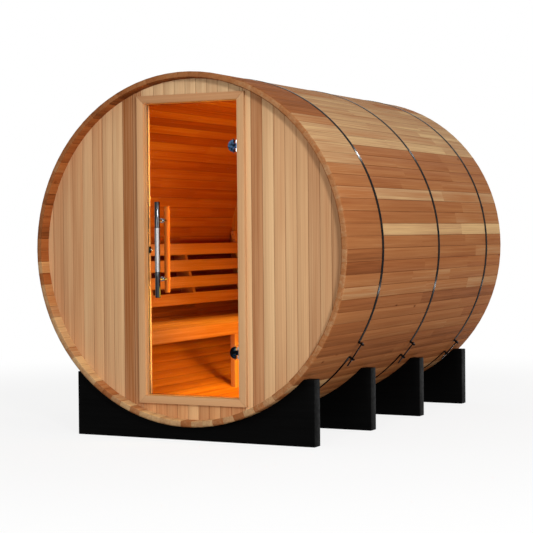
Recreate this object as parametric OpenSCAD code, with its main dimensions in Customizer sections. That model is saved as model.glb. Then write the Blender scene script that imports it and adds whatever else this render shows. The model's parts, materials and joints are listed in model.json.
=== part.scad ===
// Barrel sauna: a cabin of straight staves lying on four cradle boards, bound by three steel hoops.
// Millimetres. The front faces -Y, +X is to the right of the door, +Z is up and the ground is z = 0.
// The origin is on the ground, under the middle of the barrel.

/* [Barrel] */
// Width of the barrel across opposite staves
barrel_d = 1830; // [1740:10:2100]
// Length of the staves
barrel_length = 2375; // [2100:5:3000]
// Number of staves, in six banks
stave_count = 90; // [72:6:120]
// Thickness of a stave
stave_t = 32; // [26:1:38]
// Joint left between neighbouring staves
stave_gap = 0.4; // [0.2:0.1:0.8]
// Height of the barrel's underside above the ground
under_height = 76; // [50:1:140]

/* [Hoops] */
// Place of the front hoop along the barrel, as a share of its length
hoop_front_at = 0.192; // [0.15:0.001:0.26]
// Place of the middle hoop along the barrel, as a share of its length
hoop_middle_at = 0.536; // [0.44:0.001:0.56]
// Place of the back hoop along the barrel, as a share of its length
hoop_back_at = 0.88; // [0.76:0.001:0.9]
// Width of a hoop's band
hoop_w = 25; // [18:1:32]
// Thickness of a hoop's band
hoop_t = 2; // [1.5:0.5:3]
// Height of the turned-up lugs at a hoop's two ends
lug_h = 30; // [24:1:40]
// Thickness of a lug
lug_t = 5; // [4:0.5:8]
// Gap between a hoop's two lugs
lug_gap = 90; // [60:2:110]
// Diameter of the bolt that draws the lugs together
bolt_d = 8; // [6:1:10]
// Angle of the front hoop's bolt below the horizontal
bolt_front_angle = 35; // [25:0.5:45]
// Angle of the middle hoop's bolt below the horizontal
bolt_middle_angle = 39; // [25:0.5:45]
// Angle of the back hoop's bolt below the horizontal
bolt_back_angle = 42.5; // [25:0.5:45]

/* [Cradles] */
// Length of a cradle board across the barrel
cradle_w = 1402; // [1200:2:1500]
// Thickness of a cradle board
cradle_t = 68; // [45:1:90]
// Height of a cradle board at its ends
cradle_h = 339; // [300:1:380]
// Distance of the end cradles inside the barrel's rims
cradle_inset = 67; // [40:1:120]

/* [End walls] */
// Depth of the front wall inside the barrel's front rim
wall_recess = 70; // [60:1:110]
// Depth of the back wall inside the barrel's back rim
back_recess = 157; // [60:1:200]
// Thickness of an end wall
wall_t = 40; // [30:1:50]
// Depth of the groove in the staves that an end wall sits in
croze = 10; // [6:1:14]

/* [Doorway] */
// Distance of the doorway's middle to the right of the barrel's axis
door_shift = 10; // [-20:1:20]
// Clear width between the jambs
opening_w = 552; // [500:1:600]
// Gap between the casing's outer corners and the staves, which sets the door's height
corner_gap = 15.4; // [10:0.1:60]
// Thickness of the jambs, head and sill
jamb_t = 25; // [18:1:30]
// Depth of the jambs from the wall's outer face
jamb_depth = 46; // [44:1:70]
// Width of the mitred casing
casing_w = 40; // [34:1:46]
// Thickness of the casing
casing_t = 22; // [16:1:26]

/* [Glass door] */
// Thickness of the glass
glass_t = 8; // [6:1:10]
// Distance of the glass behind the wall's outer face
glass_back = 7; // [5:0.5:10]
// Clear gap round the glass
glass_gap = 7; // [6:0.5:9]
// Distance of the hinge axis from the jamb
axis_inset = 18; // [18:0.5:22]
// Distance of the hinges' middles from the head and the sill
hinge_inset = 235; // [150:1:300]
// Radius of a hinge's half-round clamp plates
clamp_r = 32; // [26:1:38]
// Thickness of a clamp plate
clamp_t = 5; // [4:0.5:5]

/* [Handle] */
// Distance of the handle from the jamb it closes on
handle_inset = 90; // [70:1:120]
// Distance of the bars' axes from the middle of the glass
bar_off = 50; // [46:1:56]
// Diameter of the outer pull bar
bar_d = 28; // [22:1:32]
// Length of the outer pull bar
bar_length = 500; // [420:5:600]
// Diameter of the inner wooden grip
grip_d = 30; // [24:1:34]
// Length of the inner wooden grip
grip_length = 454; // [400:2:560]
// Distance between the middles of a bar's two posts
post_gap = 305; // [240:5:340]
// Diameter of a post
post_d = 16; // [12:1:18]

/* [Bench] */
// Height of the seat's top above the lowest staves
seat_rise = 445; // [380:1:520]
// Depth of the bench from the staves to its front face
bench_depth = 455; // [380:1:520]
// Thickness of the seat boards
seat_t = 28; // [20:1:34]
// Number of seat boards
seat_boards = 4; // [3:1:5]
// Gap between seat boards
seat_gap = 8; // [5:1:14]
// Height of the board along the bench's front
apron_h = 70; // [60:1:90]
// Thickness of the board along the bench's front
apron_t = 20; // [16:1:26]
// Width of the leg
leg_w = 90; // [60:2:110]
// Thickness of the leg and of the bearers
bearer_t = 30; // [24:1:40]

/* [Backrest] */
// Number of slats
slat_count = 4; // [3:1:4]
// Width of a slat
slat_w = 70; // [60:1:76]
// Thickness of a slat
slat_t = 20; // [16:1:24]
// Distance from one slat to the next
slat_pitch = 103; // [96:1:106]
// Height of the lowest slat above the seat
slat_lift = 93; // [80:1:110]
// Distance of the lowest slat's face from the staves behind it
slat_off = 103; // [80:1:130]
// Distance of the top slat's back from the staves behind it, which sets the lean
top_off = 57; // [40:1:80]
// Distance between the middles of the two uprights
upright_gap = 510; // [400:10:1000]
// Thickness of the blocks on the end walls behind the slats' ends
block_w = 30; // [26:1:40]
// Depth of a block behind the slats
block_d = 28; // [20:1:30]

/* [Hidden] */
$fn = 96;

// Barrel: the staves have flat faces, so the barrel is a prism with one side to a stave
banks = 6;
half_step = 180 / stave_count;
bank_size = stave_count / banks;
bore_r = barrel_d / 2 - stave_t;
rim_r = barrel_d / 2 / cos(half_step);
axis_z = under_height + barrel_d / 2;
y_front = -barrel_length / 2;
y_back = barrel_length / 2;
reach = 2 * barrel_d;
past = 1;
seat_play = 0.3;

// End walls and the room between them
wall_y = y_front + wall_recess;
room_front = wall_y + wall_t;
room_back = y_back - back_recess - wall_t;

// Door: its height and the bench's depth are cut to whole millimetres
half_w = opening_w / 2;
half_h = floor(sqrt(pow(bore_r - corner_gap, 2) - pow(half_w + casing_w + abs(door_shift), 2)) - casing_w);
glass_y = wall_y + glass_back + glass_t / 2;
hinge_x = door_shift + half_w - axis_inset;
glass_left = door_shift - half_w + glass_gap;
glass_right = door_shift + half_w - glass_gap;
handle_x = door_shift - half_w + handle_inset;
hinge_rise = half_h - hinge_inset;

// Hinge: the clamp's knuckle turns on the pin between the leaf's two knuckles
knuckle_r = 6;
knuckle_half = 12;
pin_r = 3.5;
pin_play = 0.5;
knuckle_play = 1;
arm_half = 5;
leaf_t = 4;
leaf_half_w = 12;
leaf_half_h = 31;
plate_edge = 14;
web_edge = 8;
notch_side = 3;
notch_end = 5;
notch_edge = plate_edge + notch_side;
notch_half = clamp_r + notch_end;

// Roller catch
catch_base_t = 6;
catch_base_w = 20;
catch_base_h = 36;
catch_roller_r = 8;
catch_roller_h = 14;
catch_clear = 6;

// Distance of the staves' inner faces from the axis, at a height
function wall_at(z) = sqrt(pow(bore_r, 2) - pow(z - axis_z, 2));

// Bench
seat_clear = 3;
seat_z = axis_z - bore_r + seat_rise;
seat_under = seat_z - seat_t;
seat_back = floor(wall_at(seat_under) - seat_clear);
bench_front = seat_back - bench_depth;
seat_front = bench_front + apron_t;
seat_board_w = (seat_back - seat_front - seat_gap * (seat_boards - 1)) / seat_boards;
bearer_h = apron_h - seat_t;

// Backrest
slat_z = seat_z + slat_lift;
backrest_h = (slat_count - 1) * slat_pitch + slat_w;
slat_x = wall_at(slat_z) - slat_off;
top_x = wall_at(slat_z + backrest_h) - top_off - slat_t;
slat_lean = asin((top_x - slat_x) / backrest_h);
slat_ends = 20;
block_over = 83;
block_under = 20;
upright_end = 6;

// Bolt through the lugs
nut_d = 15;
nut_h = 7;
bolt_tail = 45;
bolt_play = 0.4;
bolt_up = 16.5;
bolt_r = rim_r + hoop_t + bolt_up;

wood = "#c98f5e";
warm_wood = "#c8742e";
pale_wood = "#d8ab7c";
black = "#1c1c1e";
steel = "#b9bcc0";

function ring(r) = [for (i = [0 : stave_count - 1]) r / cos(half_step)
  * [cos(2 * i * half_step), sin(2 * i * half_step)]];

// A shape drawn in X and Z, carried along Y
module along_y(y, length) {
  translate([0, y + length, 0]) rotate([90, 0, 0]) linear_extrude(height = length) children();
}

// A box between two corners
module box(low, high) {
  translate(low) cube(high - low);
}

// A prism about the barrel's axis with a flat side to each stave
module prism(r, y, length) {
  along_y(y, length) translate([0, axis_z]) polygon(ring(r));
}

// The room inside the staves
module bore() {
  prism(bore_r, y_front, barrel_length);
}

// An end wall's whole round panel, with its edge in the staves' groove
module end_panel(y) {
  prism(bore_r + croze - seat_play, y, wall_t);
}

// One stave, turned about the axis: its edges are cut to the barrel's radius and two grooves take the walls
module stave(turn) {
  outer = barrel_d / 2 * tan(half_step) - stave_gap / 2;
  inner = bore_r * tan(half_step) - stave_gap / 2;
  groove = wall_t + 2 * seat_play;
  translate([0, 0, axis_z]) rotate([0, -turn, 0]) difference() {
    along_y(y_front, barrel_length)
      polygon([[bore_r, -inner], [barrel_d / 2, -outer], [barrel_d / 2, outer], [bore_r, inner]]);
    for (y = [wall_y, room_back])
      translate([bore_r + croze - reach / 2, y + wall_t / 2, 0])
        cube([reach, groove, reach], center = true);
  }
}

module stave_bank(bank) {
  color(wood) for (i = [0 : bank_size - 1]) stave((2 * (bank * bank_size + i) + 1) * half_step);
}

// Places its children in a frame on the barrel, X outward at the given angle below the horizontal
module at_bolt(share, angle) {
  translate([0, y_front + share * barrel_length, axis_z]) rotate([0, angle, 0]) children();
}

// A band with its ends turned up into two lugs, which the bolt passes through
module hoop(share, angle) {
  gap = asin(lug_gap / 2 / rim_r);
  color(steel) at_bolt(share, angle) difference() {
    union() {
      difference() {
        rotate([90, 0, 0]) cylinder(r = rim_r + hoop_t, h = hoop_w, center = true);
        rotate([90, 0, 0]) cylinder(r = rim_r, h = hoop_w + 2 * past, center = true);
        along_y(-hoop_w, 2 * hoop_w)
          polygon([[0, 0], reach * [cos(gap), -sin(gap)], reach * [cos(gap), sin(gap)]]);
      }
      for (end = [0, 1]) mirror([0, 0, end])
        box([rim_r, -hoop_w / 2, lug_gap / 2], [rim_r + hoop_t + lug_h, hoop_w / 2, lug_gap / 2 + lug_t]);
    }
    translate([bolt_r, 0, 0]) cylinder(d = bolt_d + 2 * bolt_play, h = 2 * lug_gap, center = true);
  }
}

// The bolt stands clear of the lugs' holes and its two nuts bear on the lugs from outside
module hoop_bolt(share, angle) {
  nut_face = lug_gap / 2 + lug_t;
  color(steel) at_bolt(share, angle) translate([bolt_r, 0, 0]) {
    translate([0, 0, -nut_face - bolt_tail]) cylinder(d = bolt_d, h = 2 * nut_face + bolt_tail + nut_h);
    for (z = [-nut_face - nut_h, nut_face]) translate([0, 0, z]) cylinder(d = nut_d, h = nut_h, $fn = 6);
  }
}

// A board with flat shoulders and a saddle cut to the staves it carries
module cradle(place) {
  step = (barrel_length - 2 * cradle_inset - cradle_t) / 3;
  y = y_front + cradle_inset + place * step;
  color(black) difference() {
    box([-cradle_w / 2, y, 0], [cradle_w / 2, y + cradle_t, cradle_h]);
    prism(barrel_d / 2, y - past, cradle_t + 2 * past);
  }
}

// The piece of the front wall that lies inside a box in X and Z
module front_wall(low, high) {
  color(pale_wood) intersection() {
    end_panel(wall_y);
    box([low[0], wall_y - past, low[1]], [high[0], room_front + past, high[1]]);
  }
}

module wall_left() {
  front_wall([-reach, 0], [door_shift - half_w - jamb_t, reach]);
}

module wall_right() {
  front_wall([door_shift + half_w + jamb_t, 0], [reach, reach]);
}

module wall_over_door() {
  side = half_w + jamb_t;
  front_wall([door_shift - side, axis_z + half_h + jamb_t], [door_shift + side, reach]);
}

module wall_under_door() {
  side = half_w + jamb_t;
  front_wall([door_shift - side, 0], [door_shift + side, axis_z - half_h - jamb_t]);
}

module wall_back() {
  color(pale_wood) end_panel(room_back);
}

module jamb(side) {
  low = side > 0 ? half_w : -half_w - jamb_t;
  color(pale_wood) translate([door_shift, wall_y, axis_z])
    box([low, 0, -half_h - jamb_t], [low + jamb_t, jamb_depth, half_h + jamb_t]);
}

module door_cross_piece(side) {
  low = side > 0 ? half_h : -half_h - jamb_t;
  color(pale_wood) translate([door_shift, wall_y, axis_z])
    box([-half_w, 0, low], [half_w, jamb_depth, low + jamb_t]);
}

// One side of the mitred casing: the inner edge is as long as the opening's side
module casing(turn, half_length, half_across) {
  color(pale_wood) along_y(wall_y - casing_t, casing_t) translate([door_shift, axis_z]) rotate(turn)
    polygon([
      [half_across, -half_length], [half_across + casing_w, -half_length - casing_w],
      [half_across + casing_w, half_length + casing_w], [half_across, half_length],
    ]);
}

module bench_seat() {
  color(warm_wood) for (i = [0 : seat_boards - 1]) {
    x = -seat_front - i * (seat_board_w + seat_gap);
    box([x - seat_board_w, room_front, seat_under], [x, room_back, seat_z]);
  }
}

module bench_apron() {
  color(warm_wood) box([-seat_front, room_front, seat_z - apron_h], [-bench_front, room_back, seat_z]);
}

// A leg under the middle of the seat, scribed to the staves
module bench_leg() {
  color(warm_wood) intersection() {
    bore();
    box([-seat_front - bearer_t, -leg_w / 2, 0], [-seat_front, leg_w / 2, seat_under]);
  }
}

// Boards across the seat, one on each end wall and one on each side of the leg
module bench_bearers() {
  near_leg = leg_w / 2 + bearer_t;
  color(warm_wood) intersection() {
    bore();
    for (y = [room_front, -near_leg, leg_w / 2, room_back - bearer_t])
      box([-reach, y, seat_under - bearer_h], [-seat_front, y + bearer_t, seat_under]);
  }
}

// The backrest's own frame: X across the slat's thickness, Z up along the lean
module lean() {
  translate([-slat_x, 0, slat_z]) rotate([0, -slat_lean, 0]) children();
}

module backrest_slats() {
  color(warm_wood) lean() for (i = [0 : slat_count - 1])
    box([-slat_t, room_front + slat_ends, i * slat_pitch],
        [0, room_back - slat_ends, i * slat_pitch + slat_w]);
}

// A board behind the slats, cut to the staves where it reaches them
module behind_slats(y, width, depth, low, high) {
  color(warm_wood) intersection() {
    bore();
    lean() box([-slat_t - depth, y - width / 2, low], [-slat_t, y + width / 2, high]);
  }
}

module backrest_uprights() {
  for (side = [-1, 1])
    behind_slats(side * upright_gap / 2, bearer_t, reach, upright_end, backrest_h - upright_end);
}

module backrest_blocks() {
  low = backrest_h - slat_w - block_under;
  for (y = [room_front + block_w / 2, room_back - block_w / 2])
    behind_slats(y, block_w, block_d, low, backrest_h + block_over);
}

// Places its children at a hinge's middle on the hinge axis, one above and one below the door's middle
module at_hinge(side) {
  translate([hinge_x, glass_y, axis_z + side * hinge_rise]) children();
}

// A plate on the jamb with two knuckles on arms and the pin between them
module hinge_leaf(side) {
  arm_low = knuckle_half + knuckle_play;
  color(steel) at_hinge(side) {
    box([axis_inset - leaf_t, -leaf_half_w, -leaf_half_h], [axis_inset, leaf_half_w, leaf_half_h]);
    for (end = [0, 1]) mirror([0, 0, end]) {
      translate([0, 0, arm_low]) cylinder(r = knuckle_r, h = leaf_half_h - arm_low);
      box([0, -arm_half, arm_low], [axis_inset - leaf_t + past, arm_half, leaf_half_h]);
    }
    cylinder(r = pin_r, h = 2 * leaf_half_h - 2 * past, center = true);
  }
}

// Two half-round plates on the glass, joined by a web to the knuckle that turns on the pin
module hinge_clamp(side) {
  out = glass_t / 2 + clamp_t;
  color(steel) at_hinge(side) difference() {
    union() {
      for (y = [-out, glass_t / 2]) intersection() {
        translate([-plate_edge, y + clamp_t, 0]) rotate([90, 0, 0]) cylinder(r = clamp_r, h = clamp_t);
        box([-reach, -reach, -reach], [-plate_edge, reach, reach]);
      }
      box([-plate_edge - past, -out, -knuckle_half], [-web_edge, out, knuckle_half]);
      box([-web_edge - past, -arm_half, -knuckle_half], [0, arm_half, knuckle_half]);
      cylinder(r = knuckle_r, h = 2 * knuckle_half, center = true);
    }
    cylinder(r = pin_r + pin_play, h = reach, center = true);
  }
}

// The pane, notched at its hinges
module door_glass() {
  half_pane = half_h - glass_gap;
  color("#a85b28", 0.35) difference() {
    translate([0, glass_y, axis_z])
      box([glass_left, -glass_t / 2, -half_pane], [glass_right, glass_t / 2, half_pane]);
    for (side = [-1, 1]) at_hinge(side)
      box([-notch_edge, -glass_t, -notch_half], [reach, glass_t, notch_half]);
  }
}

// A base on the jamb and the roller that the closed door meets, behind the glass
module roller_catch() {
  back = glass_t / 2 + catch_clear;
  color(steel) translate([door_shift - half_w, glass_y + back, axis_z]) {
    box([0, 0, -catch_base_h / 2], [catch_base_t, catch_base_w, catch_base_h / 2]);
    translate([catch_base_t + catch_roller_r / 2, catch_base_w / 2, 0])
      cylinder(r = catch_roller_r, h = catch_roller_h, center = true);
  }
}

// Places its children at each of a bar's two posts
module at_posts() {
  for (side = [-1, 1]) translate([handle_x, glass_y, axis_z + side * post_gap / 2]) children();
}

module handle_bar() {
  color(steel) {
    translate([handle_x, glass_y - bar_off, axis_z]) cylinder(d = bar_d, h = bar_length, center = true);
    at_posts() rotate([90, 0, 0]) translate([0, 0, glass_t / 2])
      cylinder(d = post_d, h = bar_off - glass_t / 2);
  }
}

module handle_inner_posts() {
  color(steel) difference() {
    at_posts() rotate([-90, 0, 0]) translate([0, 0, glass_t / 2])
      cylinder(d = post_d, h = bar_off - glass_t / 2);
    translate([handle_x, glass_y + bar_off, axis_z]) cylinder(d = grip_d, h = reach, center = true);
  }
}

module handle_inner_grip() {
  color(warm_wood) translate([handle_x, glass_y + bar_off, axis_z])
    cylinder(d = grip_d, h = grip_length, center = true);
}

stave_bank(0);  // staves_upper_right
stave_bank(1);  // staves_top
stave_bank(2);  // staves_upper_left
stave_bank(3);  // staves_lower_left
stave_bank(4);  // staves_bottom
stave_bank(5);  // staves_lower_right
hoop(hoop_front_at, bolt_front_angle);  // hoop_front
hoop(hoop_middle_at, bolt_middle_angle);  // hoop_middle
hoop(hoop_back_at, bolt_back_angle);  // hoop_back
hoop_bolt(hoop_front_at, bolt_front_angle);  // hoop_bolt_front
hoop_bolt(hoop_middle_at, bolt_middle_angle);  // hoop_bolt_middle
hoop_bolt(hoop_back_at, bolt_back_angle);  // hoop_bolt_back
cradle(0);  // cradle_front
cradle(1);  // cradle_second
cradle(2);  // cradle_third
cradle(3);  // cradle_back
wall_left();
wall_right();
wall_over_door();
wall_under_door();
wall_back();
jamb(-1);  // jamb_left
jamb(1);  // jamb_right
door_cross_piece(1);  // door_head
door_cross_piece(-1);  // door_sill
casing(180, half_h, half_w);  // casing_left
casing(0, half_h, half_w);  // casing_right
casing(90, half_w, half_h);  // casing_top
casing(-90, half_w, half_h);  // casing_bottom
bench_seat();
bench_apron();
bench_leg();
bench_bearers();
backrest_slats();
backrest_uprights();
backrest_blocks();
hinge_leaf(1);  // hinge_leaf_upper
hinge_leaf(-1);  // hinge_leaf_lower
roller_catch();
door_glass();
hinge_clamp(1);  // hinge_clamp_upper
hinge_clamp(-1);  // hinge_clamp_lower
handle_bar();
handle_inner_posts();
handle_inner_grip();
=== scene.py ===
import json
import math
import random

import bmesh
import bpy
from bpy.props import FloatProperty, FloatVectorProperty, IntProperty, PointerProperty
from mathutils import Matrix, Vector


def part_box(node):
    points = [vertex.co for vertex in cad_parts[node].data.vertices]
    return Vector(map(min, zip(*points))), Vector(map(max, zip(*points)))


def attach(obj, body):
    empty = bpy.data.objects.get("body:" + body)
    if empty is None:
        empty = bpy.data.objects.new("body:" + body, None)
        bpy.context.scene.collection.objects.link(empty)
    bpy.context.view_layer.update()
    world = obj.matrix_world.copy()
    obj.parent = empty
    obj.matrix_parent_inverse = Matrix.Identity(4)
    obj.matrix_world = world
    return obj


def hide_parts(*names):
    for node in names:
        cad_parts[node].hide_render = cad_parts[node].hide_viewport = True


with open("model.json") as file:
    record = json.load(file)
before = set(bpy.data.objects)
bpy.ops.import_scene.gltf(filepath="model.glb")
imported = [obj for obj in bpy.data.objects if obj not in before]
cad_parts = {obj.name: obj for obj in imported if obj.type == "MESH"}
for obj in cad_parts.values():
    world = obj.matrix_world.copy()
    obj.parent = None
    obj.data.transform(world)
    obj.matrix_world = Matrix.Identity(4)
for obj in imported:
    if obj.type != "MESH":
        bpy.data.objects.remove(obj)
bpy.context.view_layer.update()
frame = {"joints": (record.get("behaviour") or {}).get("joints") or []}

bl_info = {
    "name": "Barrel sauna",
    "version": (1, 0, 0),
    "blender": (4, 5, 0),
    "location": "View3D > Sidebar > Sauna",
    "description": "Boards, hoops, glass door and bench of a barrel sauna, built on its packed frame",
    "category": "Object",
}

# The frame's own measures, in metres
X, Y, Z = Vector((1, 0, 0)), Vector((0, 1, 0)), Vector((0, 0, 1))
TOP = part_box("staves_top")[1].z
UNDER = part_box("staves_bottom")[0].z
OUTER = (TOP - UNDER) / 2
AXIS = Vector((0, 0, (TOP + UNDER) / 2))
FRONT, BACK = (corner.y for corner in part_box("staves_top"))
WALL_FACE, ROOM_FRONT = (corner.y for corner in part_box("wall_left"))
ROOM_BACK, WALL_BACK = (corner.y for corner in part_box("wall_back"))
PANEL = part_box("wall_back")[1].z - AXIS.z
OPEN_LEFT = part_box("jamb_left")[1].x
OPEN_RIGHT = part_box("jamb_right")[0].x
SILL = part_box("door_sill")[1].z
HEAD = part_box("door_head")[0].z
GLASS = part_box("door_glass")
GLASS_Y = (GLASS[0].y + GLASS[1].y) / 2
HINGE = Vector(frame["joints"][0]["pos_m"])

BANKS = (
    "staves_upper_right", "staves_top", "staves_upper_left",
    "staves_lower_left", "staves_bottom", "staves_lower_right",
)
HOOPS = ("front", "middle", "back")
CRADLES = ("front", "second", "third", "back")


def shade(code):
    """A web colour as linear values."""
    parts = [int(code[i:i + 2], 16) / 255 for i in (0, 2, 4)]
    return tuple(p / 12.92 if p <= 0.04045 else ((p + 0.055) / 1.055) ** 2.4 for p in parts)


def length(name, description, default):
    return FloatProperty(name=name, description=description, default=default, min=0, unit="LENGTH", precision=4)


def colour(name, description, code):
    return FloatVectorProperty(
        name=name, description=description, default=shade(code), size=3, subtype="COLOR", min=0, max=1)


class SaunaSizes(bpy.types.PropertyGroup):
    """Sizes that the frame doesn't give."""

    staves: IntProperty(name="Staves", description="Number of staves round the barrel", default=90, min=6)
    stave_depth: length("Stave thickness", "From the outside of a stave to the room", 0.032)
    groove: length("Groove", "Depth of the groove that an end wall sits in", 0.010)
    groove_play: length("Groove play", "Clearance on each side of an end wall in its groove", 0.0003)
    joint: length("Joint", "Half of the joint between two staves", 0.0001)
    stave_ease: length("Stave edge", "Width of the eased edge of a stave", 0.0016)
    rim_round: length("Rim round", "Radius of the rounded outer edge at the barrel's two ends", 0.013)
    rim_ease: length("Rim edge", "Radius of the inner edge at the barrel's two ends", 0.004)
    wall_board: length("Wall board", "Width of a board of the end walls", 0.0635)
    wall_seam: FloatProperty(
        name="Wall seam", description="Place of one seam between wall boards, right of the middle",
        default=0.039, unit="LENGTH")
    board_ease: length("Board edge", "Width of the eased edge of a planed board", 0.0015)
    hoop_thickness: length("Hoop thickness", "Thickness of a hoop's band", 0.002)
    lug_height: length("Lug height", "Height of a hoop's lugs above its band", 0.030)
    lug_thickness: length("Lug thickness", "Thickness of a lug", 0.005)
    lug_gap: length("Lug gap", "Distance between the two lugs of a hoop", 0.090)
    bolt: length("Bolt", "Diameter of the bolt through the lugs", 0.008)
    bolt_rise: length("Bolt rise", "Height of the bolt above the band", 0.0165)
    bolt_tail: length("Bolt tail", "Thread left below the lower nut", 0.045)
    bolt_angles: FloatVectorProperty(
        name="Bolt angles", description="Angle of each hoop's bolt below the horizontal, front to back",
        default=[math.radians(a) for a in (35, 39, 42.5)], size=3, subtype="EULER", unit="ROTATION")
    saddle_ease: length("Cradle edge", "Width of the eased edge of a cradle board", 0.003)
    seat_gap: length("Seat gap", "Gap between two seat boards", 0.008)
    seat_boards: IntProperty(name="Seat boards", description="Number of seat boards", default=4, min=1)
    slat_pitch: length("Slat pitch", "Distance from one slat of the backrest to the next", 0.103)
    slat_width: length("Slat width", "Width of a slat", 0.070)
    slat_depth: length("Slat thickness", "Thickness of a slat", 0.020)
    slats: IntProperty(name="Slats", description="Number of slats", default=4, min=1)
    bar_end: length("Bar end", "Length of the dark sleeve at each end of the pull bar", 0.135)


class SaunaFinishes(bpy.types.PropertyGroup):
    """Colours of the woods and metals."""

    umber: colour("Umber", "Darkest cedar boards", "774525")
    russet: colour("Russet", "Red-brown cedar boards", "a06036")
    honey: colour("Honey", "Middle cedar boards", "b37546")
    tan: colour("Tan", "Light cedar boards", "c3966a")
    cream: colour("Cream", "Palest cedar boards", "e2bc86")
    heart: colour("Heart board", "Dark boards beside the door", "9a6036")
    wall: colour("Wall board", "Middle boards of the end walls", "c3956c")
    wall_pale: colour("Pale wall board", "Palest boards of the end walls", "dfbb8e")
    # The room tint is partly the oiled finish of the cedar inside and partly painted warm light of the room.
    room_oil_and_glow: colour("Room tint", "Tint of the cedar inside the room", "ffd070")
    bench_dark: colour("Bench, dark", "Dark grain of the bench", "a85a22")
    bench_light: colour("Bench, light", "Light grain of the bench", "dd9550")
    black: colour("Black stain", "Stain of the cradle boards", "030303")
    # The near-black hoop colour is a painted reflection of dark surroundings in the steel bands.
    hoop: colour("Hoop", "Black enamel of the hoops", "111112")
    polished: colour("Polished steel", "Bright side of the polished fittings", "c4c6c9")
    dark_steel: colour("Dark steel", "Dark side of the polished fittings", "555659")
    black_steel: colour("Black steel", "Darkest lines of the fittings", "08090a")
    # The blue of the clamps is a painted reflection in their polished steel.
    painted_blue_sheen: colour("Blued steel", "Sheen of the clamps on the glass", "4d6a8c")
    satin: colour("Satin steel", "Bright lines of the pull bar", "969492")
    pane: colour("Pane edge", "Green of the glass at its ground edges", "1d2a22")


class Signal:
    """A value in a material's node tree, used in sums as a number is."""

    def __init__(self, tree, socket=None):
        self.tree, self.socket = tree, socket

    def node(self, kind, settings, sockets, out=0):
        """Adds a node with its settings, then the values or links of its sockets, and gives one output."""
        made = self.tree.nodes.new(kind)
        for key, value in settings.items():
            if key == "stops":
                ramp = made.color_ramp
                ends = ((ramp.elements[0], value[0]), (ramp.elements[1], value[-1]))
                for element, (place, tint) in ends:
                    element.position, element.color = place, (*tint, 1)
                for place, tint in value[1:-1]:
                    ramp.elements.new(place).color = (*tint, 1)
            else:
                setattr(made, key, value)
        for key, value in sockets.items():
            if isinstance(value, Signal):
                self.tree.links.new(value.socket, made.inputs[key])
            else:
                made.inputs[key].default_value = value
        return Signal(self.tree, made.outputs[out] if made.outputs else None)

    def out(self, index):
        """Another output of the same node."""
        return Signal(self.tree, self.socket.node.outputs[index])

    def sum(self, operation, *values):
        return self.node("ShaderNodeMath", {"operation": operation}, dict(enumerate(values)))

    def __add__(self, other):
        return self.sum("ADD", self, other)

    def __sub__(self, other):
        return self.sum("SUBTRACT", self, other)

    def __rsub__(self, other):
        return self.sum("SUBTRACT", other, self)

    def __mul__(self, other):
        return self.sum("MULTIPLY", self, other)

    def __lt__(self, other):
        return self.sum("LESS_THAN", self, other)

    def __gt__(self, other):
        return self.sum("GREATER_THAN", self, other)

    __radd__, __rmul__ = __add__, __mul__

    def scaled(self, *factors):
        """A vector with each part scaled."""
        return self.node("ShaderNodeVectorMath", {"operation": "MULTIPLY"}, {0: self, 1: factors})

    def noise(self, detail=2.0, roughness=0.55):
        """Noise in a vector's own units, about its middle: from -0.5 to 0.5."""
        return self.node(
            "ShaderNodeTexNoise", {}, {"Vector": self, "Scale": 1.0, "Detail": detail, "Roughness": roughness}) - 0.5

    def mix(self, one, other, how="MIX"):
        """Two colours, mixed by this share."""
        one, other = (c if isinstance(c, Signal) else (*c, 1) for c in (one, other))
        return self.node("ShaderNodeMix", {"data_type": "RGBA", "blend_type": how}, {0: self, 6: one, 7: other}, 2)

    def ramp(self, *stops):
        """A colour from a row of colours, each at its place."""
        return self.node("ShaderNodeValToRGB", {"stops": stops}, {0: self})

    def attribute(self, name):
        return self.node("ShaderNodeAttribute", {"attribute_name": name}, {}, 1)

    def parts(self):
        """The three parts of a vector."""
        first = self.node("ShaderNodeSeparateXYZ", {}, {0: self})
        return first, first.out(1), first.out(2)

    def bump(self, strength, distance):
        return self.node("ShaderNodeBump", {}, {"Height": self, "Strength": strength, "Distance": distance})

    def surface(self, **sockets):
        """Ends the tree in a Principled surface."""
        named = {key.replace("_", " "): value for key, value in sockets.items()}
        lit = self.node("ShaderNodeBsdfPrincipled", {}, named)
        self.node("ShaderNodeOutputMaterial", {}, {"Surface": lit})


def blank(owner):
    """The start of an empty node tree in a material or the world."""
    owner.use_nodes = True
    owner.node_tree.nodes.clear()
    return Signal(owner.node_tree)


def finish(build):
    """A builder's material, made the first time that it is asked for."""
    made = bpy.data.materials.get(build.__name__)
    if made is None:
        made = bpy.data.materials.new(build.__name__)
        build(blank(made), bpy.context.scene.sauna_finishes)
    return made


# Stains multiplied into the cedar: reddish boards, end grain and eased edges; then reach, share and stain of the knots
BLUSH, END_GRAIN, EDGE = (1.0, 0.88, 0.80), (0.74, 0.75, 0.79), (0.50, 0.38, 0.30)
KNOTS = ((0.16, 0.55, (0.62, 0.50, 0.42)), (0.09, 0.85, (0.30, 0.20, 0.15)))


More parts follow.
